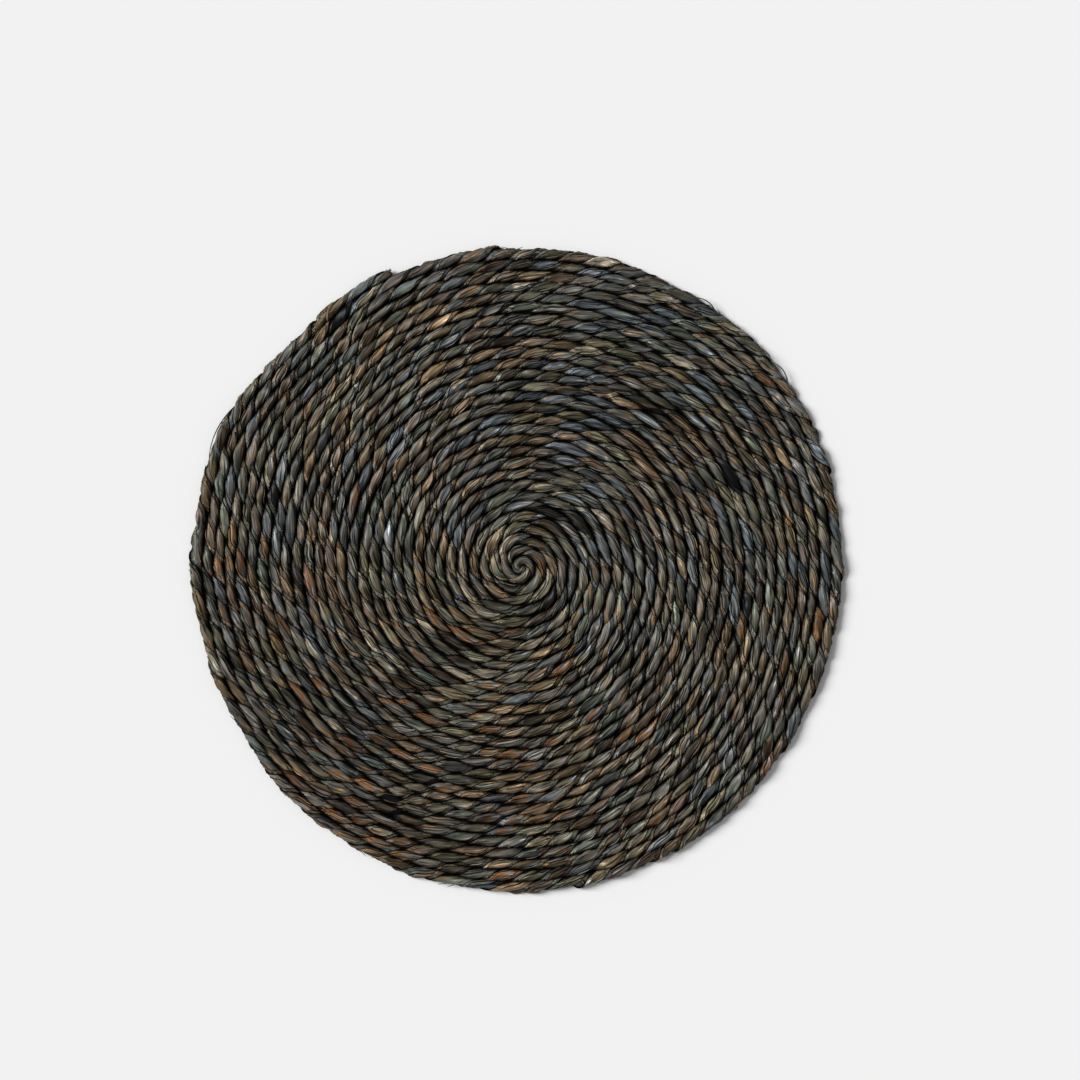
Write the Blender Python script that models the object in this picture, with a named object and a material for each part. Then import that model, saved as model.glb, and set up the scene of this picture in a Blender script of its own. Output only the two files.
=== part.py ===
"""A round placemat of two-ply seagrass rope, wound flat from the middle outwards and sewn turn to turn.

Units are metres and +Z is up. The mat lies on z = 0 with the origin under the middle of its outline.
It is one solid: a strip as wide as the rope follows the coil, is welded to its neighbouring turns,
and gets a rounded rim and a flat underside.
"""

import math

import bmesh
import bpy

# Driving dimensions
COIL_RADIUS = 0.1934      # middle of the coil to the outer side of its last turn, where that ends
MAT_THICKNESS = 0.006     # table to the ridge of a turn
ROPE_PITCH = 0.00645      # middle of one turn to the middle of the next
GROOVE_DEPTH = 0.0013     # ridge of a turn down to the groove beside it
RIM_HEIGHT = 0.0030       # height at which the last turn is widest
RIM_UNDERCUT = 0.0013     # how far the underside stays back from the widest line
CENTRE_RADIUS = 0.0055    # outer side of the plain button at the middle of the coil

# The rope's cut end
END_ANGLE = math.radians(114)     # where the rope ends on the rim
END_TAPER_LENGTH = 0.042          # the last stretch, which is drawn in against the turn before
END_WIDTH_SHARE = 0.56            # width left at the cut

SECTORS = 64                      # faces in one turn
FIRST_TURN = round(CENTRE_RADIUS / ROPE_PITCH * SECTORS) / SECTORS
LAST_TURN = round(COIL_RADIUS / ROPE_PITCH * SECTORS) / SECTORS - 1
WELD_DISTANCE = 0.00002
SHARP_ANGLE = math.radians(50)    # edges bent more than this stay sharp

# Where the turns were not wound quite round: the angle, half the width of the stretch, and how far
# the outermost turn stands out there, or is drawn in.
UNEVEN_STRETCHES = (
    # angle_deg, half_width_deg, stands_out
    (36, 27, 0.0022),
    (-22, 21, -0.0023),
    (-50, 14, -0.0007),
    (-110, 24, 0.0008),
    (-150, 9, -0.0012),
    (180, 8, 0.0015),
    (157, 9, 0.0018),
    (133, 16, -0.0048),
)
UNEVEN_FROM_SHARE = 0.4           # inside this share of the radius the turns are round
UNEVEN_GROWTH = 1.5               # and outside it they get uneven slowly, then faster


def clear_scene():
    for old in list(bpy.data.objects):
        bpy.data.objects.remove(old, do_unlink=True)


def smooth_step(value):
    held = min(max(value, 0.0), 1.0)
    return held * held * (3 - 2 * held)


def stands_out(angle, radius):
    """How far a turn of this radius lies outside its even spiral at this angle."""
    total = 0.0
    for angle_deg, half_width_deg, height in UNEVEN_STRETCHES:
        away = (math.degrees(angle) - angle_deg + 180) % 360 - 180
        total += height * math.exp(-2 * (away / half_width_deg) ** 2)
    share = (radius / COIL_RADIUS - UNEVEN_FROM_SHARE) / (1 - UNEVEN_FROM_SHARE)
    return total * smooth_step(share) ** UNEVEN_GROWTH


def groove_radius(turn):
    """Radius of the groove on the inner side of the rope, `turn` turns from the middle."""
    even = ROPE_PITCH * turn
    return even + stands_out(coil_angle(turn), even)


def coil_angle(turn):
    """The rope winds outwards clockwise, seen from above, and ends at END_ANGLE."""
    return END_ANGLE + 2 * math.pi * (LAST_TURN - turn)


def width_left(turn):
    """1 along the rope, and down to END_WIDTH_SHARE over the stretch before its cut end."""
    to_end = (LAST_TURN - turn) * 2 * math.pi * COIL_RADIUS
    return END_WIDTH_SHARE + (1 - END_WIDTH_SHARE) * smooth_step(to_end / END_TAPER_LENGTH)


def strip_point(along, across):
    """A point of the strip: along from 0 to 1 down the rope, across from 0, inner side, to 1."""
    turn = FIRST_TURN + along * (LAST_TURN - FIRST_TURN)
    inner = groove_radius(turn)
    outer = groove_radius(turn + 1)
    on_rim = turn > LAST_TURN - 1 + 0.5 / SECTORS
    if on_rim:
        outer = inner + (outer - inner) * width_left(turn)
    radius = inner + (outer - inner) * across
    height = MAT_THICKNESS - GROOVE_DEPTH * abs(2 * across - 1)
    if on_rim and across == 1:
        height = RIM_HEIGHT
    angle = coil_angle(turn)
    return radius * math.cos(angle), radius * math.sin(angle), height


def coil_strip(shape):
    """A long grid, two faces wide, wound into the coil and welded along the grooves."""
    faces_along = round((LAST_TURN - FIRST_TURN) * SECTORS)
    bmesh.ops.create_grid(shape, x_segments=faces_along, y_segments=2, size=1.0)
    for vert in shape.verts:
        vert.co = strip_point((vert.co.x + 1) / 2, (vert.co.y + 1) / 2)
    bmesh.ops.remove_doubles(shape, verts=shape.verts, dist=WELD_DISTANCE)


def open_edges(shape, at_rim):
    """The open edges on the mat's rim, or else those about the middle of the coil."""
    found = []
    for edge in shape.edges:
        middle = (edge.verts[0].co + edge.verts[1].co) / 2
        outer_half = math.hypot(middle.x, middle.y) > COIL_RADIUS / 2
        if edge.is_boundary and outer_half == at_rim:
            found.append(edge)
    return found


def close_middle(shape):
    """The start of the rope is a plain button, its first turn drawn together at one point."""
    edges = open_edges(shape, at_rim=False)
    made = bmesh.ops.extrude_edge_only(shape, edges=edges)["geom"]
    verts = [part for part in made if isinstance(part, bmesh.types.BMVert)]
    bmesh.ops.pointmerge(shape, verts=verts, merge_co=(0, 0, MAT_THICKNESS - GROOVE_DEPTH / 2))


def close_underside(shape):
    """The rim turns down and a little inwards to the table, and one flat face closes it."""
    edges = open_edges(shape, at_rim=True)
    made = bmesh.ops.extrude_edge_only(shape, edges=edges)["geom"]
    verts = [part for part in made if isinstance(part, bmesh.types.BMVert)]
    for vert in verts:
        radius = math.hypot(vert.co.x, vert.co.y)
        share = (radius - RIM_UNDERCUT) / radius
        vert.co = (vert.co.x * share, vert.co.y * share, 0)
    foot = [part for part in made if isinstance(part, bmesh.types.BMEdge)]
    bmesh.ops.edgeloop_fill(shape, edges=[edge for edge in foot if edge.is_boundary])


def centre_outline(shape):
    """The origin goes under the middle of the outline's box."""
    for axis in (0, 1):
        places = [vert.co[axis] for vert in shape.verts]
        middle = (min(places) + max(places)) / 2
        for vert in shape.verts:
            vert.co[axis] -= middle


def seagrass_material():
    material = bpy.data.materials.new("seagrass")
    material.use_nodes = True
    surface = material.node_tree.nodes["Principled BSDF"]
    surface.inputs["Base Color"].default_value = (0.115, 0.105, 0.080, 1)
    surface.inputs["Roughness"].default_value = 0.6
    surface.inputs["Metallic"].default_value = 0.0
    return material


def coiled_mat(collection):
    shape = bmesh.new()
    coil_strip(shape)
    close_middle(shape)
    close_underside(shape)
    centre_outline(shape)
    bmesh.ops.recalc_face_normals(shape, faces=shape.faces)
    mesh = bpy.data.meshes.new("coiled_mat")
    shape.to_mesh(mesh)
    shape.free()
    mesh.shade_smooth()
    mesh.set_sharp_from_angle(angle=SHARP_ANGLE)
    mesh.materials.append(seagrass_material())
    mat = bpy.data.objects.new("coiled_mat", mesh)
    collection.objects.link(mat)


clear_scene()
placemat = bpy.data.collections.new("seagrass_placemat")
bpy.context.scene.collection.children.link(placemat)
coiled_mat(placemat)
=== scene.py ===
"""Looks of a round seagrass placemat: one two-ply twisted rope, wound flat from the middle outwards.

Units are metres, +Z is up, and the mat lies on z = 0.
"""

import math

import bpy
import numpy as np
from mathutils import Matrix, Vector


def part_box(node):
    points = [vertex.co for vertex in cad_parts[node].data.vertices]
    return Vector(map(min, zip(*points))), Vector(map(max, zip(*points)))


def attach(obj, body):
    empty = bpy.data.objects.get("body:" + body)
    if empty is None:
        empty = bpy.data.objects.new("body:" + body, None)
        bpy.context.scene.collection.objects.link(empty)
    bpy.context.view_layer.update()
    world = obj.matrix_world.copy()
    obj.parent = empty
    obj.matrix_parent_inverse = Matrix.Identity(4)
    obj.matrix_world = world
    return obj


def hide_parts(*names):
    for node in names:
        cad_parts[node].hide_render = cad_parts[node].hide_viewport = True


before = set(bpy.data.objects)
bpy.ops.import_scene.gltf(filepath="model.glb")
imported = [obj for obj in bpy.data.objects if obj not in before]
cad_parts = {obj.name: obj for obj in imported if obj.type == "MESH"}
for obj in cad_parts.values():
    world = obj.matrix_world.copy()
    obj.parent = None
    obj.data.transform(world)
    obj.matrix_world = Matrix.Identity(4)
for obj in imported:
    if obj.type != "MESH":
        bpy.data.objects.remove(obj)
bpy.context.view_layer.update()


# ---- The course of the rope ----
# One rope of twisted seagrass is wound from the middle outwards, clockwise seen from above, and sewn
# turn to turn with a thread that sinks between the turns. The turns aren't quite round.

mat_low, mat_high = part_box("coiled_mat")
COIL_RADIUS = 0.1934              # middle of the coil to the outer side of its last turn
ROPE_PITCH = 0.00645              # middle of one turn to the middle of the next
FIRST_TURN = -0.96                # turns are counted from the first groove, and the rope starts inside it
LAST_TURN = COIL_RADIUS / ROPE_PITCH - 1
COURSE_STEP = 0.002               # of a turn, between the points that the course is worked out at

# The rope's cut end
END_ANGLE = math.radians(114)     # where the rope ends on the rim
END_TAPER_LENGTH = 0.042          # the last stretch, which is drawn in against the turn before
END_WIDTH_SHARE = 0.56            # width left at the cut

# Where the turns were not wound quite round: the angle, half the width of the stretch, and how far
# the outermost turn stands out there, or is drawn in.
UNEVEN_STRETCHES = (
    # angle_deg, half_width_deg, stands_out
    (36, 27, 0.0022),
    (-22, 21, -0.0023),
    (-50, 14, -0.0007),
    (-110, 24, 0.0008),
    (-150, 9, -0.0012),
    (180, 8, 0.0015),
    (157, 9, 0.0018),
    (133, 16, -0.0048),
)
UNEVEN_FROM_SHARE = 0.4           # inside this share of the radius the turns are round
UNEVEN_GROWTH = 1.5               # and outside it they get uneven slowly, then faster

# Small swings of the rows to and fro, and the share of the radius that they fade over at either side.
ROW_WAVES = (
    # waves_round, phase_deg, radial_length, sideways
    (3, 20, 0.061, 0.00035),
    (5, 140, 0.043, 0.00022),
    (8, 250, 0.083, 0.00020),
)
ROW_WAVES_FADE = 0.2


def smooth_step(value):
    held = np.clip(value, 0, 1)
    return held * held * (3 - 2 * held)


def coil_angle(turn):
    """The rope winds outwards clockwise, seen from above, and ends at END_ANGLE."""
    return END_ANGLE + 2 * math.pi * (LAST_TURN - turn)


def stands_out(angle, radius):
    """How far a turn of this radius lies outside its even spiral at this angle."""
    total = 0.0
    for angle_deg, half_width_deg, height in UNEVEN_STRETCHES:
        away = (np.degrees(angle) - angle_deg + 180) % 360 - 180
        total = total + height * np.exp(-2 * (away / half_width_deg) ** 2)
    share = (radius / COIL_RADIUS - UNEVEN_FROM_SHARE) / (1 - UNEVEN_FROM_SHARE)
    return total * smooth_step(share) ** UNEVEN_GROWTH


def row_wave(angle, radius):
    """The small swing that neighbouring turns share, none at the middle and at the rim."""
    total = 0.0
    for waves_round, phase_deg, radial_length, sideways in ROW_WAVES:
        phase = waves_round * angle + math.radians(phase_deg)
        total = total + sideways * np.sin(phase + 2 * math.pi * radius / radial_length)
    share = radius / COIL_RADIUS
    return total * smooth_step(share / ROW_WAVES_FADE) * smooth_step((1 - share) / ROW_WAVES_FADE)


def groove_radius(turn):
    """Radius of the groove on the rope's inner side, and 0 before the first groove."""
    even = ROPE_PITCH * np.maximum(turn, 0)
    angle = coil_angle(turn)
    return even + stands_out(angle, even) + row_wave(angle, even)


course_turn = np.arange(FIRST_TURN, LAST_TURN, COURSE_STEP)
course_angle = coil_angle(course_turn)
to_end = (LAST_TURN - course_turn) * 2 * math.pi * COIL_RADIUS
width_left = END_WIDTH_SHARE + (1 - END_WIDTH_SHARE) * smooth_step(to_end / END_TAPER_LENGTH)
inner_groove = groove_radius(course_turn)
course_half = (groove_radius(course_turn + 1) - inner_groove) * width_left / 2
course_radius = inner_groove + course_half
course_x = course_radius * np.cos(course_angle)
course_y = course_radius * np.sin(course_angle)

# The outline's box is centred over the CAD mat's.
on_rim = course_turn > LAST_TURN - 1
rim_reach = (course_radius + course_half) / course_radius
for course, axis in ((course_x, 0), (course_y, 1)):
    rim = (course * rim_reach)[on_rim]
    course += (mat_low[axis] + mat_high[axis]) / 2 - (rim.min() + rim.max()) / 2

step_length = np.hypot(np.diff(course_x), np.diff(course_y))
course_length = np.concatenate([[0.0], np.cumsum(step_length)])
rope_length = course_length[-1]


# ---- The rope ----
# Two plies of folded seagrass leaves, laid left-handed. Each ply shows as a row of long pointed
# bulges, one leaf or two or three blades wide. The plies are soft and are pressed oval, and flat below.

LAY_LENGTH = 0.0318               # one full turn of a ply about the rope
PLY_OFFSET = 0.00136              # rope's middle line to a ply's
PLY_HALF_DEPTH = 0.00148          # of a ply, away from the rope's middle line
PLY_HALF_WIDTH = 0.00245          # of a ply, across that
PRESSED_WIDER = 1.20              # how much wider the pressed rope is than its plies would make it
ROPE_AXIS_HEIGHT = 0.0021         # the rope's middle line above the table
LOWER_FLATTENED = 0.72            # height left of the lower half, which is pressed on the table
TABLE_GAP = 0.00005               # under the lowest leaves

# Neighbouring turns are pressed together along their sides, and more so low down. The plies part no
# deeper than a core, which is thicker on the underside, where they are pressed together too.
SIDE_HALF_HEIGHT = 0.0008         # of the pressed sides
LOWER_SIDE_HALF_HEIGHT = 0.0018
SIDE_OVERLAP = 0.00012            # how far they reach into the next turn's
LOWER_SIDE_OVERLAP = 0.00025
CORE_RADIUS = 0.00190
LOWER_CORE_RADIUS = 0.0026
UPPER_RISE = 0.0012               # from this far above the middle line up, leaves lie freely out of line
PAST_MIDDLE = 1.04                # the first turns reach this far across the coil's middle, in their radii
BLEND_POWER = 8                   # how sharply ply, side and core meet
LIMIT_POWER = 24                  # how sharply a leaf is stopped at the rope's side

# On the rim nothing presses on the rope's outer side.
RIM_OPENS_OVER = 0.02             # of a turn, past the place where the turn outside it ends
RIM_SIDE_DRAWN_IN = 0.4           # share by which the pressed side draws back there
RIM_LEAVES_PAST = 0.0010          # how far leaves may stand past the side
RIM_UNEVEN = 1.4                  # how much further out of line they lie
RIM_LIT = 0.6                     # share of the grooves' shade that is missing there

RING_STEP = 0.00171               # between the rope's rings of points
TIGHT_RADIUS = 0.018              # the rings stand closer together where the coil is tighter than this
TIGHTEST_STEP = 0.10              # down to this share of the step
WELD_DISTANCE = 1e-7              # of the grid's two long edges, which lie on each other
SHARP_ANGLE = math.radians(42)    # edges bent more than this stay sharp

# Lines of a ply, from the crease to one side of it, round to just before the next crease.
COLUMN_DEG = (-90, -78, -62, -41, -32, -23, 0, 23, 32, 41, 62, 78)
CREASE_COLUMN = 0
SPLIT_COLUMNS = (4, 8)            # where a ply may part into blades
RIDGE_COLUMN = 6
SHOULDER_COLUMNS = (2, 10)
PLY_SWING = 0.28                  # a ply lies along the row on top and dives quickly beside it, radians
VEIN_SWING = 0.10                 # and how much more its inner lines do
COLUMNS = 2 * len(COLUMN_DEG)

# Painted shade on a line, which darkens its colour as shade would, from 0 on top of a leaf to 1 deep in a
# groove.
CREASE_PAINTED_SHADE = 0.95
SPLIT_PAINTED_SHADE = 0.9
SPLIT_OPENS = 0.0003              # depth at which a split is fully open, and has all its painted shade

draw = np.random.default_rng(20)
SPARE_LEAVES = 8                  # more than the mean lay needs, because the twist is uneven
LEAVES = int(2 * rope_length / LAY_LENGTH) + SPARE_LEAVES
LEAF_CHANGE = 0.16                # share of a leaf over which its shape goes over into the next leaf's

# The twist's unevenness, and the rope's to and fro and up and down: the length between changes, and
# the most that they change it.
TWIST_CHANGES = (
    # length, radians
    (0.085, 1.5),
    (0.021, 0.42),
)
SWAY = (0.017, 0.00032)
LIFT = (0.034, 0.00022)


def leaf_draws(low, high):
    """A number for each leaf of each ply."""
    return low + (high - low) * draw.random((2, LEAVES))


def by_leaf(values, ply, place):
    """The value of the leaf at this place, running over into the next leaf's at the rope's sides."""
    shifted = place + LEAF_CHANGE / 2
    leaf = np.floor(shifted).astype(int)
    share = smooth_step((shifted - leaf) / LEAF_CHANGE)
    before = values[ply, np.clip(leaf - 1, 0, LEAVES - 1)]
    after = values[ply, np.clip(leaf, 0, LEAVES - 1)]
    return before + (after - before) * share


def slow_noise(length, spacing, height):
    """Smooth noise along the rope: a new random height every `spacing`, joined by soft curves."""
    count = int(rope_length / spacing) + 3
    heights = draw.uniform(-height, height, count)
    place = length / spacing
    low = np.floor(place).astype(int)
    share = smooth_step(place - low)
    return heights[low] + (heights[low + 1] - heights[low]) * share


leaf_width = leaf_draws(0.82, 1.14)
leaf_height = leaf_draws(0.80, 1.05)
leaf_lean = leaf_draws(-0.16, 0.16)
leaf_shift = leaf_draws(-0.00040, 0.00040)
leaf_turn = leaf_draws(-0.0014, 0.0014)
crease_shift = leaf_draws(-0.30, 0.30)
leaf_ridge = leaf_draws(-0.00008, 0.00030)
leaf_shoulder = leaf_draws(-0.00030, 0.00010)
split_depth = [leaf_draws(-0.00030, 0.00060).clip(0, None) for _ in SPLIT_COLUMNS]
split_lip = [leaf_draws(-0.00028, 0.00028) for _ in SPLIT_COLUMNS]
split_place = [leaf_draws(-0.24, 0.24) for _ in SPLIT_COLUMNS]

course_twist = 2 * math.pi * course_length / LAY_LENGTH
for spacing, most in TWIST_CHANGES:
    course_twist = course_twist + slow_noise(course_length, spacing, most)
course_sway = slow_noise(course_length, *SWAY)
course_lift = slow_noise(course_length, *LIFT)
course_open = smooth_step((course_turn - LAST_TURN + 1) / RIM_OPENS_OVER)


def leaf_swing(twist, base):
    """How far round the ply a line has swung, so that the leaves lie along the row on top."""
    inner = 1 - (base / (math.pi / 2)) ** 2
    return (PLY_SWING + VEIN_SWING * inner) * np.sin(2 * twist)


def oval_reach(across, ply, place):
    """From the rope's middle line out to a ply's oval side, which leans a little."""
    depth_half = PLY_HALF_DEPTH * by_leaf(leaf_height, ply, place)
    offset = PLY_OFFSET * by_leaf(leaf_height, ply, place)
    width_half = PLY_HALF_WIDTH * by_leaf(leaf_width, ply, place)
    cosine = np.cos(across)
    sine = np.sin(across)
    square = (cosine / depth_half) ** 2 + (sine / width_half) ** 2
    linear = offset * cosine / depth_half**2
    constant = (offset / depth_half) ** 2 - 1
    reach = (linear + np.sqrt(linear**2 - square * constant)) / square
    return reach * (1 + by_leaf(leaf_lean, ply, place) * np.sin(2 * across))


def blade_details(reach, line, ply, place):
    """The reach with a leaf's ridge, shoulders and splits, with each line's painted shade and the painted
    highlight on a split's raised lip.
    """
    reach = reach + by_leaf(leaf_ridge, ply, place) * (line == RIDGE_COLUMN)
    reach = reach + by_leaf(leaf_shoulder, ply, place) * np.isin(line, SHOULDER_COLUMNS)
    sunk = CREASE_PAINTED_SHADE * (line == CREASE_COLUMN)
    edge = 0.0
    for depth, lip, split in zip(split_depth, split_lip, SPLIT_COLUMNS):
        here = by_leaf(depth, ply, place)
        open_share = smooth_step(here / SPLIT_OPENS)
        stands = by_leaf(lip, ply, place) * open_share
        reach = reach - here * (line == split)
        reach = reach + stands * (line == split - 1) - stands * (line == split + 1)
        sunk = sunk + SPLIT_PAINTED_SHADE * open_share * (line == split)
        edge = edge + (stands > 0) * (line == split - 1) * open_share
        edge = edge + (stands < 0) * (line == split + 1) * open_share
    return reach, sunk, edge


def held_within(value, limit):
    """The value, softly kept from going past this limit either way."""
    return value / (1 + (abs(value) / limit) ** LIMIT_POWER) ** (1 / LIMIT_POWER)


def rope_point(length, column):
    """Points on the rope's surface, at this length along it and on this one of its lines."""
    ply = (column // len(COLUMN_DEG)) % 2
    line = column % len(COLUMN_DEG)
    twist = np.interp(length, course_length, course_twist) + math.pi * ply
    base = np.radians(np.array(COLUMN_DEG))[line]
    place = (twist + base) / math.pi

    across = base + leaf_swing(twist, base) + by_leaf(crease_shift, ply, place) * (line == CREASE_COLUMN)
    for place_shift, split in zip(split_place, SPLIT_COLUMNS):
        across = across + by_leaf(place_shift, ply, place) * (abs(line - split) <= 1)
    reach = oval_reach(across, ply, place)
    reach, sunk, edge = blade_details(reach, line, ply, place)

    # The pressed sides and the core. `outside` is 1 on the rim's open side, and `below` on the underside.
    half = np.interp(length, course_length, course_half)
    turned = twist + across
    outside = np.interp(length, course_length, course_open) * (np.cos(turned) > 0)
    below = (np.sin(turned) > 0) * (1 - outside)
    overlap = SIDE_OVERLAP + (LOWER_SIDE_OVERLAP - SIDE_OVERLAP) * below
    side_height = SIDE_HALF_HEIGHT + (LOWER_SIDE_HALF_HEIGHT - SIDE_HALF_HEIGHT) * below
    side = 1 / np.sqrt((np.cos(turned) / (half + overlap)) ** 2 + (np.sin(turned) / side_height) ** 2)
    side = side * (1 - RIM_SIDE_DRAWN_IN * outside)
    core = CORE_RADIUS + (LOWER_CORE_RADIUS - CORE_RADIUS) * below
    reach = (reach**BLEND_POWER + side**BLEND_POWER + core**BLEND_POWER) ** (1 / BLEND_POWER)

    sideways = reach * np.cos(turned) * PRESSED_WIDER
    sideways = held_within(sideways, half + overlap + RIM_LEAVES_PAST * outside)
    radius = np.interp(length, course_length, course_radius)
    sideways = np.maximum(sideways, -PAST_MIDDLE * radius)
    flattened = np.where(np.sin(turned) > 0, LOWER_FLATTENED, 1)
    height = ROPE_AXIS_HEIGHT - reach * np.sin(turned) * flattened
    # Painted shade: the nearer a place lies to the height of the rope's middle line, down between the
    # turns, the darker its colour is painted, and less so on the rim's open side.
    depth_share = 1 - abs(height - ROPE_AXIS_HEIGHT) / (PLY_OFFSET + PLY_HALF_DEPTH)
    sunk = np.maximum(sunk, depth_share * (1 - RIM_LIT * outside))

    # The upper leaves lie out of line, each in its own way.
    upper = smooth_step((height - ROPE_AXIS_HEIGHT) / UPPER_RISE)
    past_middle = place - np.floor(place) - 0.5
    sway = np.interp(length, course_length, course_sway)
    sway = sway + by_leaf(leaf_shift, ply, place) * (1 + RIM_UNEVEN * outside)
    sway = sway + by_leaf(leaf_turn, ply, place) * past_middle
    sideways = sideways + sway * np.maximum(upper, outside)
    height = height + np.interp(length, course_length, course_lift) * upper
    height = np.maximum(height, TABLE_GAP)

    angle = np.interp(length, course_length, course_angle)
    x = np.interp(length, course_length, course_x) + sideways * np.cos(angle)
    y = np.interp(length, course_length, course_y) + sideways * np.sin(angle)
    return x, y, height, sunk, edge


def ring_lengths(start, end):
    """The place along the rope of each ring of points."""
    lengths = [start]
    while lengths[-1] < end:
        radius = np.interp(lengths[-1], course_length, course_radius)
        lengths.append(lengths[-1] + RING_STEP * min(1, TIGHTEST_STEP + radius / TIGHT_RADIUS))
    lengths[-1] = end
    return np.array(lengths)


def wound_rope(name, start, end):
    """A stretch of the wound rope, as a closed tube with a flat cap at each end."""
    lengths = ring_lengths(start, end)
    rings = len(lengths)
    bpy.ops.object.select_all(action="DESELECT")
    bpy.ops.mesh.primitive_grid_add(x_subdivisions=rings - 1, y_subdivisions=COLUMNS, size=2)
    rope = bpy.context.object
    rope.name = name
    mesh = rope.data
    mesh.name = name

    grid = np.zeros(len(mesh.vertices) * 3)
    mesh.vertices.foreach_get("co", grid)
    grid = grid.reshape(-1, 3)
    length = lengths[np.rint((grid[:, 0] + 1) / 2 * (rings - 1)).astype(int)]
    column = np.rint((grid[:, 1] + 1) / 2 * COLUMNS).astype(int)
    x, y, height, sunk, edge = rope_point(length, column)
    mesh.vertices.foreach_set("co", np.stack([x, y, height], 1).ravel())
    # Painted shade for creases, splits and grooves, and painted highlights for the lips of splits, kept for
    # the leaf's colour.
    for shade, values in (("sunk", sunk), ("edge", edge)):
        mesh.attributes.new(shade, "FLOAT", "POINT").data.foreach_set("value", values)

    along, across = rope_map(mesh, lengths)
    paint_blades(mesh, along, across)

    bpy.ops.object.mode_set(mode="EDIT")
    bpy.ops.mesh.select_all(action="SELECT")
    bpy.ops.mesh.remove_doubles(threshold=WELD_DISTANCE)
    bpy.ops.mesh.select_all(action="DESELECT")
    bpy.ops.mesh.select_mode(type="EDGE")
    bpy.ops.mesh.select_non_manifold(extend=False, use_wire=False, use_multi_face=False,
                                     use_non_contiguous=False, use_verts=False)
    bpy.ops.mesh.edge_face_add()
    bpy.ops.mesh.select_all(action="SELECT")
    bpy.ops.mesh.normals_make_consistent(inside=False)
    bpy.ops.object.mode_set(mode="OBJECT")
    bpy.ops.object.shade_smooth_by_angle(angle=SHARP_ANGLE)
    return rope


def rope_map(mesh, lengths):
    """The length and the line of each face corner, read back from the grid's own map."""
    corners = np.zeros(len(mesh.loops) * 2)
    mesh.uv_layers[0].data.foreach_get("uv", corners)
    corners = corners.reshape(-1, 4, 2)
    along = lengths[np.rint(corners[:, :, 0] * (len(lengths) - 1)).astype(int)]
    across = corners[:, :, 1] * COLUMNS
    return along, across


# Each leaf parts into three blades. Their tone picks a colour, and their light makes it paler or darker.
BLADES = len(SPLIT_COLUMNS) + 1
ALIKE_SHARE = 0.55                # of the leaves have one tone all over
LEAF_LIGHT_PART = 0.8             # how much of a blade's light is its leaf's
BLADE_LIGHT_PART = 0.6            # and how much is its own
WARMER = 0.07                     # browner leaves on one side of the mat, greyer on the other: partly leaf colour, partly a painted sheen
WARM_SIDE = math.radians(240)
FIBRE_SLOPE = 0.25                # how far the fibres run across their leaf, to each length along it

blade_tone = draw.random((2, LEAVES, BLADES))
blade_light = draw.normal(0, 1, (2, LEAVES, BLADES))
blades_alike = draw.random((2, LEAVES)) < ALIKE_SHARE
blade_tone[:, :, 1:][blades_alike] = blade_tone[:, :, :1][blades_alike]
leaf_light = draw.normal(0, 1, (2, LEAVES, 1))
blade_light = LEAF_LIGHT_PART * leaf_light + BLADE_LIGHT_PART * blade_light
leaf_angle = np.interp(np.arange(LEAVES) * LAY_LENGTH / 2, course_length, course_angle)
warmer = WARMER * np.cos(leaf_angle - WARM_SIDE)
blade_tone = (blade_tone + warmer[:, None]).clip(0, 1)


def paint_blades(mesh, along, across):
    """Gives each face its blade's own tone and light, and lays the fibre map along the leaves."""
    middle = np.floor(across.mean(1)).astype(int)
    ply = (middle // len(COLUMN_DEG)) % 2
    line = middle % len(COLUMN_DEG)
    base = np.radians(np.array(COLUMN_DEG + (90,)))
    face_base = (base[line] + base[line + 1]) / 2
    face_twist = np.interp(along.mean(1), course_length, course_twist) + math.pi * ply
    leaf = np.floor((face_twist + face_base) / math.pi).astype(int).clip(0, LEAVES - 1)
    blade = (line >= SPLIT_COLUMNS[0]).astype(int) + (line >= SPLIT_COLUMNS[1])
    tone = mesh.attributes.new("tone", "FLOAT", "FACE")
    tone.data.foreach_set("value", blade_tone[ply, leaf, blade])
    light = mesh.attributes.new("light", "FLOAT", "FACE")
    light.data.foreach_set("value", blade_light[ply, leaf, blade])

    twist = np.interp(along, course_length, course_twist) + math.pi * ply[:, None]
    past = (twist - (leaf[:, None] + 0.5) * math.pi) * LAY_LENGTH / (2 * math.pi)
    corner_line = np.rint(across).astype(int) - (middle - line)[:, None]
    reach = PLY_OFFSET + PLY_HALF_DEPTH
    slip = reach * 2 * math.pi / LAY_LENGTH - FIBRE_SLOPE
    corner_base = base[corner_line]
    fibre = reach * (corner_base + leaf_swing(twist, corner_base)) + slip * past
    laid = np.stack([fibre, past], 2)
    fibres = mesh.uv_layers[0]
    fibres.name = "fibres"
    fibres.data.foreach_set("uv", laid.ravel())


class Value:
    """A number that varies over a surface. Arithmetic on it adds Math nodes."""

    def __init__(self, finish, socket):
        self.finish = finish
        self.socket = socket

    def maths(self, operation, first, second):
        return self.finish.node("ShaderNodeMath", {"operation": operation}, {0: first, 1: second})

    def __add__(self, other):
        return self.maths("ADD", self, other)

    def __rsub__(self, other):
        return self.maths("SUBTRACT", other, self)

    def __mul__(self, other):
        return self.maths("MULTIPLY", self, other)

    __radd__ = __add__
    __rmul__ = __mul__


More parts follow.
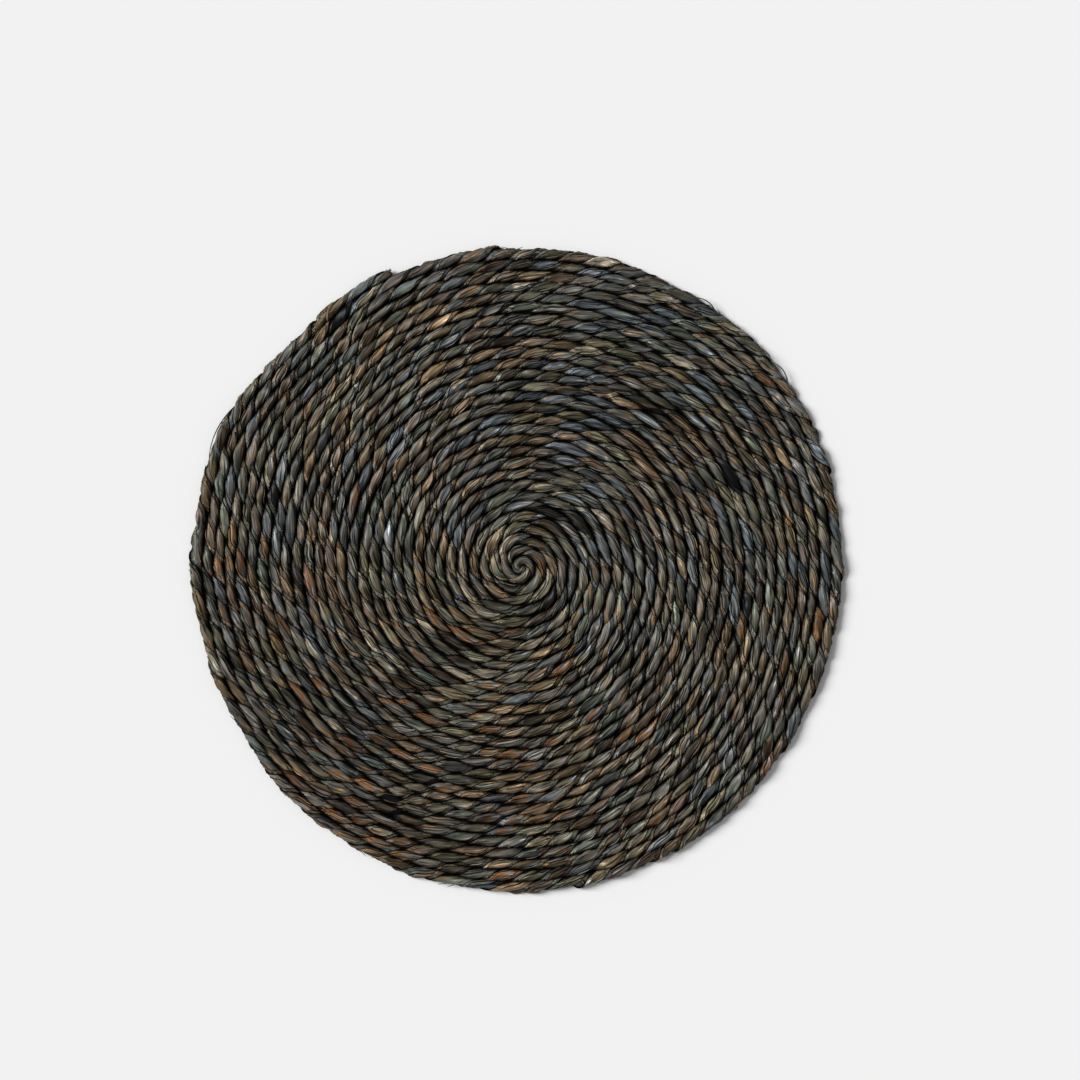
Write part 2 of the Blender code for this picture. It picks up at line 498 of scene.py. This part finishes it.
class Finish:
    """A material under construction."""

    def __init__(self, name):
        self.material = bpy.data.materials.new(name)
        self.material.use_nodes = True
        self.tree = self.material.node_tree
        self.surface = self.tree.nodes["Principled BSDF"]

    def join(self, socket, value):
        if isinstance(value, Value):
            self.tree.links.new(value.socket, socket)
        else:
            socket.default_value = value

    def node(self, kind, settings, sockets, output=0):
        made = self.tree.nodes.new(kind)
        for name, value in settings.items():
            if name == "stops":
                set_stops(made.color_ramp, value)
            else:
                setattr(made, name, value)
        for name, value in sockets.items():
            self.join(made.inputs[name], value)
        return Value(self, made.outputs[output])

    def attribute(self, name):
        return self.node("ShaderNodeAttribute", {"attribute_name": name}, {}, "Fac")

    def set(self, **sockets):
        for name, value in sockets.items():
            self.join(self.surface.inputs[name.replace("_", " ")], value)


def set_stops(ramp, stops):
    """Stops are (place, colour) pairs, the first at 0."""
    while len(ramp.elements) < len(stops):
        ramp.elements.new(1)
    for element, (place, colour) in zip(ramp.elements, stops):
        element.position = place
        element.color = colour


def srgb(red, green, blue):
    """A colour given as it looks on a screen, 0 to 255, in the scene's linear light."""
    parts = [part / 255 for part in (red, green, blue)]
    return tuple(p / 12.92 if p <= 0.04045 else ((p + 0.055) / 1.055) ** 2.4 for p in parts) + (1,)


LEAF_COLOURS = (
    # share of the blades, colour, from the coolest to the warmest
    (0.10, srgb(79, 85, 88)),
    (0.12, srgb(82, 87, 76)),
    (0.17, srgb(88, 87, 81)),
    (0.17, srgb(95, 89, 81)),
    (0.15, srgb(93, 87, 68)),
    (0.02, srgb(140, 127, 105)),
    (0.13, srgb(99, 82, 64)),
    (0.09, srgb(95, 79, 56)),
    (0.035, srgb(111, 82, 51)),
    (0.015, srgb(117, 79, 48)),
)
LEAF_LIGHT = 0.92                 # how much of those colours is left in the mat's own shade
GROOVE_SUNK = 0.80                # painted shade from which the colour is painted quite dark
OPEN_SUNK = 0.17                  # and up to which the colour gets no painted shade
GROOVE_LIGHT = 0.012              # light left in the grooves
LIGHT_SPREAD = 0.34               # how much paler or darker one blade is than the next
LIP_HIGHLIGHT = 0.5                   # painted highlight: how much lighter the raised lip of a split is painted
GLINT_LIGHT = 1.3                 # and a painted glint, where a fibre catches the light
GROOVE_ROUGHNESS = 1.0
SHINE = 0.5                       # how much smoother the open leaf is
COAT = 0.30
NOISE_APART = 91                  # takes the leaves' fibres from places this far apart in the noise
SECOND_TONE = 7.3                 # makes a second tone out of a blade's first


def seagrass():
    """Dull dried leaf: streaks of two tones along its fibres, cracks, painted glints, and painted shade in
    the grooves.
    """
    finish = Finish("seagrass_leaf")
    stops = []
    place = 0.0
    for share, colour in LEAF_COLOURS:
        stops.append((place, colour))
        place += share
    tone = finish.attribute("tone")
    ramp = finish.node("ShaderNodeValToRGB", {"stops": stops}, {"Fac": tone}, "Color")
    ramp.socket.node.color_ramp.interpolation = "CONSTANT"

    fibres = finish.node("ShaderNodeUVMap", {"uv_map": "fibres"}, {}, "UV")
    apart = finish.node("ShaderNodeCombineXYZ", {}, {"Z": tone * NOISE_APART}, "Vector")

    def streaks(across, along, detail):
        """Noise drawn out along the fibres, with this many changes to a metre each way."""
        place = finish.node("ShaderNodeVectorMath", {"operation": "MULTIPLY_ADD"},
                            {0: fibres, 1: (across, along, 0), 2: apart}, "Vector")
        return finish.node("ShaderNodeTexNoise", {},
                           {"Vector": place, "Scale": 1.0, "Detail": detail, "Roughness": 0.6}, "Fac")

    def between(value, low, high, at_low, at_high):
        """Goes smoothly from at_low, where the value is low or less, to at_high."""
        return finish.node("ShaderNodeMapRange", {"interpolation_type": "SMOOTHSTEP"},
                           {"Value": value, "From Min": low, "From Max": high,
                            "To Min": at_low, "To Max": at_high}, "Result")

    wide = streaks(1350, 45, 2.0)
    fine = streaks(3000, 110, 2.0)
    cracks = between(streaks(1300, 40, 1.0), 0.35, 0.42, 0.22, 1.0)
    glints = between(streaks(1700, 120, 1.0), 0.64, 0.74, 0.0, 1.0)
    # Painted shade: the colour is darkened in creases, splits and grooves, where shade would fall.
    painted_shade_factor = between(finish.attribute("sunk"), GROOVE_SUNK, OPEN_SUNK, GROOVE_LIGHT, 1.0)
    streaky = between(wide, 0.32, 0.68, 0.45, 1.55) * between(fine, 0.30, 0.70, 0.50, 1.45)
    # The colour's strength carries the painted groove shade, and the painted highlights on split lips and
    # glinting fibres.
    strength = LEAF_LIGHT * painted_shade_factor * cracks * (1 + finish.attribute("light") * LIGHT_SPREAD)
    strength = strength * streaky * (1 + finish.attribute("edge") * LIP_HIGHLIGHT + glints * GLINT_LIGHT)

    second = finish.node("ShaderNodeMath", {"operation": "FRACT"}, {0: tone * SECOND_TONE})
    second_ramp = finish.node("ShaderNodeValToRGB", {"stops": stops}, {"Fac": second}, "Color")
    second_ramp.socket.node.color_ramp.interpolation = "CONSTANT"
    patches = between(streaks(420, 110, 2.0), 0.42, 0.60, 0.0, 0.85)
    # The Mix node has sockets for each kind of value. For colours the factor is 0, the two colours are
    # 6 and 7, and the result is 2.
    mixed = finish.node("ShaderNodeMix", {"data_type": "RGBA"}, {0: patches, 6: ramp, 7: second_ramp}, 2)
    colour = finish.node("ShaderNodeVectorMath", {"operation": "SCALE"},
                         {0: mixed, "Scale": strength}, "Vector")
    relief = wide * 0.6 + fine * 0.4 + cracks * 0.5
    bump = finish.node("ShaderNodeBump", {}, {"Height": relief, "Strength": 0.8,
                                              "Distance": 0.0006}, "Normal")
    finish.set(Base_Color=colour, Roughness=GROOVE_ROUGHNESS - painted_shade_factor * SHINE, Normal=bump)
    finish.set(Specular_IOR_Level=0.05, Coat_Weight=painted_shade_factor * COAT, Coat_Roughness=0.42)
    return finish.material


# The rope is one length. It is made in three stretches, each a ring of the coil, which keeps its meshes
# a fair size. It is cut where its middle crosses a ring's radius, and the first stretch has its start.
RING_NAMES = ("rope_centre", "rope_middle", "rope_rim")
RING_RADII = (0.0, 0.1193, 0.1520, COIL_RADIUS)

leaf_finish = seagrass()
cuts = np.interp(np.array(RING_RADII) / ROPE_PITCH - 0.5, course_turn, course_length)
cuts[0] = 0
for name, start, end, inner, outer in zip(RING_NAMES, cuts, cuts[1:], RING_RADII, RING_RADII[1:]):
    rope = wound_rope(name, start, end)
    rope.data.materials.clear()
    rope.data.materials.append(leaf_finish)
    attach(rope, "root")
    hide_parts("coiled_mat")


# ---- Cut and stray fibres ----
# Thin strips of leaf: those standing out of the rope's cut end, and strays that have worked loose on the
# rim. Each is a tapered tube of the rope's own leaf, with its root in the rope.

STRAND_HALF_THICKNESS = 0.00040
STRAND_TAPER = 0.6                # share of its thickness that a strand loses to its tip
STRAND_POINTS = 9
STRAND_SHARP_ANGLE = math.radians(60)
STRAND_PAINTED_SHADE = 0.5                 # strands get the painted shade of leaf half way down a groove, which darkens them
ROOT_DEPTH = 0.0008               # how deep in the rope's side a stray's root lies

# Long strays, with both their ends in the rim: the angle, how far they span, and how far out and how
# high they stand.
LOOPS = (
    # rim_deg, spans_deg, stands_off, height
    (156, 11, 0.0013, 0.0038),
    (37, 5, 0.0019, 0.0030),
    (41, 3.5, 0.0011, 0.0042),
    (55, 4.5, 0.0016, 0.0034),
    (73, 3.5, 0.0012, 0.0030),
)
LOOP_FULLNESS = 0.7               # below 1, a loop is broader than a sine's arch
LOOP_THICKNESS = 1.0              # of a strand

# Short strays, with one end free.
HAIRS = 22
HAIR_SPAN_DEG = 1.6
HAIR_STANDS_OFF = 0.0012
HAIR_THICKNESS = 0.6
HAIRS_FROM_END_DEG = (5, 350)     # how far past the rope's cut end the first and the last may stand

STRAY_RISE = 0.0004               # from a stray's root to its highest point

STUB_FIBRES = 22
STUB_THICKNESS = 1.5
STUB_ROOT = 0.002                 # how deep in the cut end a fibre's root lies
STUB_RISE = 0.0003
END_STEPS = 7                     # steps of the course over which the rope's last direction is read

along_strand = np.linspace(0, 1, STRAND_POINTS)


def rim_place(rim_deg, beyond):
    """A place on the outermost turn, this far outside its rim."""
    turn = LAST_TURN - ((rim_deg - math.degrees(END_ANGLE)) / 360) % 1
    angle = coil_angle(turn)
    outwards = np.interp(turn, course_turn, course_half) + beyond
    x = np.interp(turn, course_turn, course_x) + outwards * np.cos(angle)
    y = np.interp(turn, course_turn, course_y) + outwards * np.sin(angle)
    return x, y


def add_strand(curve, x, y, height, thickness):
    """Adds a strand through these points, thinner towards its last one."""
    line = curve.splines.new("POLY")
    line.points.add(STRAND_POINTS - 1)
    for point, *place, share in zip(line.points, x, y, height, along_strand):
        point.co = (*place, 1)
        point.radius = thickness * (1 - STRAND_TAPER * share**2)


def strand_piece(curve):
    """The strands of a curve as closed tubes of one mesh, in the leaves' tones, with painted shade."""
    curve.dimensions = "3D"
    curve.bevel_depth = STRAND_HALF_THICKNESS
    curve.bevel_resolution = 1
    curve.use_fill_caps = True
    piece = bpy.data.objects.new(curve.name, curve)
    bpy.context.collection.objects.link(piece)
    bpy.ops.object.select_all(action="DESELECT")
    piece.select_set(True)
    bpy.context.view_layer.objects.active = piece
    bpy.ops.object.convert(target="MESH")
    piece = bpy.context.object
    bpy.ops.object.shade_smooth_by_angle(angle=STRAND_SHARP_ANGLE)
    mesh = piece.data
    tones = draw.random(len(mesh.polygons))
    mesh.attributes.new("tone", "FLOAT", "FACE").data.foreach_set("value", tones)
    shaded = np.full(len(mesh.polygons), STRAND_PAINTED_SHADE)
    mesh.attributes.new("sunk", "FLOAT", "FACE").data.foreach_set("value", shaded)
    mesh.materials.clear()
    mesh.materials.append(leaf_finish)
    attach(piece, "root")
    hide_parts("coiled_mat")


strays = bpy.data.curves.new("stray_fibres", "CURVE")
for rim_deg, spans_deg, stands_off, height in LOOPS:
    arch = np.sin(math.pi * along_strand) ** LOOP_FULLNESS
    beyond = (stands_off + ROOT_DEPTH) * arch - ROOT_DEPTH
    x, y = rim_place(rim_deg + (along_strand - 0.5) * spans_deg, beyond)
    add_strand(strays, x, y, height + STRAY_RISE * arch, LOOP_THICKNESS)
for _ in range(HAIRS):
    rim_deg = math.degrees(END_ANGLE) + draw.uniform(*HAIRS_FROM_END_DEG)
    span = draw.choice([-1, 1]) * HAIR_SPAN_DEG * draw.uniform(0.5, 1.3)
    stands_off = HAIR_STANDS_OFF * draw.uniform(0.3, 1.2)
    beyond = (stands_off + ROOT_DEPTH) * along_strand - ROOT_DEPTH
    x, y = rim_place(rim_deg + along_strand * span, beyond)
    height = draw.uniform(0.002, 0.0045)
    add_strand(strays, x, y, height + STRAY_RISE * along_strand, HAIR_THICKNESS)
strand_piece(strays)

stub = bpy.data.curves.new("cut_fibres", "CURVE")
rope_end = np.array([course_x[-1], course_y[-1]])
before_end = np.array([course_x[-1 - END_STEPS], course_y[-1 - END_STEPS]])
end_direction = (rope_end - before_end) / np.linalg.norm(rope_end - before_end)
outwards = np.array([math.cos(END_ANGLE), math.sin(END_ANGLE)])
for _ in range(STUB_FIBRES):
    sideways = draw.uniform(-0.8, 1.0) * course_half[-1]
    height = draw.uniform(0.0012, 0.0048)
    reaches = draw.uniform(0.0004, 0.0024)
    lifts = draw.uniform(-0.0003, 0.0012)
    forward = along_strand * (reaches + STUB_ROOT) - STUB_ROOT
    place = rope_end + np.outer(forward, end_direction)
    place = place + np.outer(sideways + lifts * along_strand**2, outwards)
    add_strand(stub, place[:, 0], place[:, 1], height + STUB_RISE * along_strand, STUB_THICKNESS)
strand_piece(stub)


# ---- Floor, light and camera ----
# A pale table under a soft lamp that stands to the left of the mat and a little beyond it, and under an
# even sky. The camera looks straight down.

FLOOR_SIZE = 40.0
SKY_STRENGTH = 0.30
LAMP_TURNED_DEG = (55, 0, -110)
LAMP_ENERGY = 4.05
LAMP_WIDTH_DEG = 30
CAMERA_DISTANCE = 1.6
VIEW_WIDTH = 0.635
VIEW_MIDDLE = (0.0137, 0.0176)
SENSOR_WIDTH = 36                 # millimetres, as the lens is

bpy.ops.object.select_all(action="DESELECT")
bpy.ops.mesh.primitive_plane_add(size=FLOOR_SIZE)
floor = bpy.context.object
floor.name = "floor"
pale = Finish("pale_floor")
pale.set(Base_Color=(0.85, 0.85, 0.85, 1), Roughness=1.0)
floor.data.materials.append(pale.material)

world = bpy.data.worlds.new("studio")
bpy.context.scene.world = world
world.use_nodes = True
world.node_tree.nodes["Background"].inputs["Color"].default_value = (1, 1, 1, 1)
world.node_tree.nodes["Background"].inputs["Strength"].default_value = SKY_STRENGTH

bpy.ops.object.light_add(type="SUN", rotation=[math.radians(degrees) for degrees in LAMP_TURNED_DEG])
lamp = bpy.context.object
lamp.data.energy = LAMP_ENERGY
lamp.data.angle = math.radians(LAMP_WIDTH_DEG)

bpy.ops.object.camera_add(location=(*VIEW_MIDDLE, CAMERA_DISTANCE), rotation=(0, 0, 0))
camera = bpy.context.object
camera.data.sensor_width = SENSOR_WIDTH
camera.data.lens = SENSOR_WIDTH * CAMERA_DISTANCE / VIEW_WIDTH
bpy.context.scene.camera = camera
bpy.context.scene.view_settings.view_transform = "Standard"


bpy.context.view_layer.update()
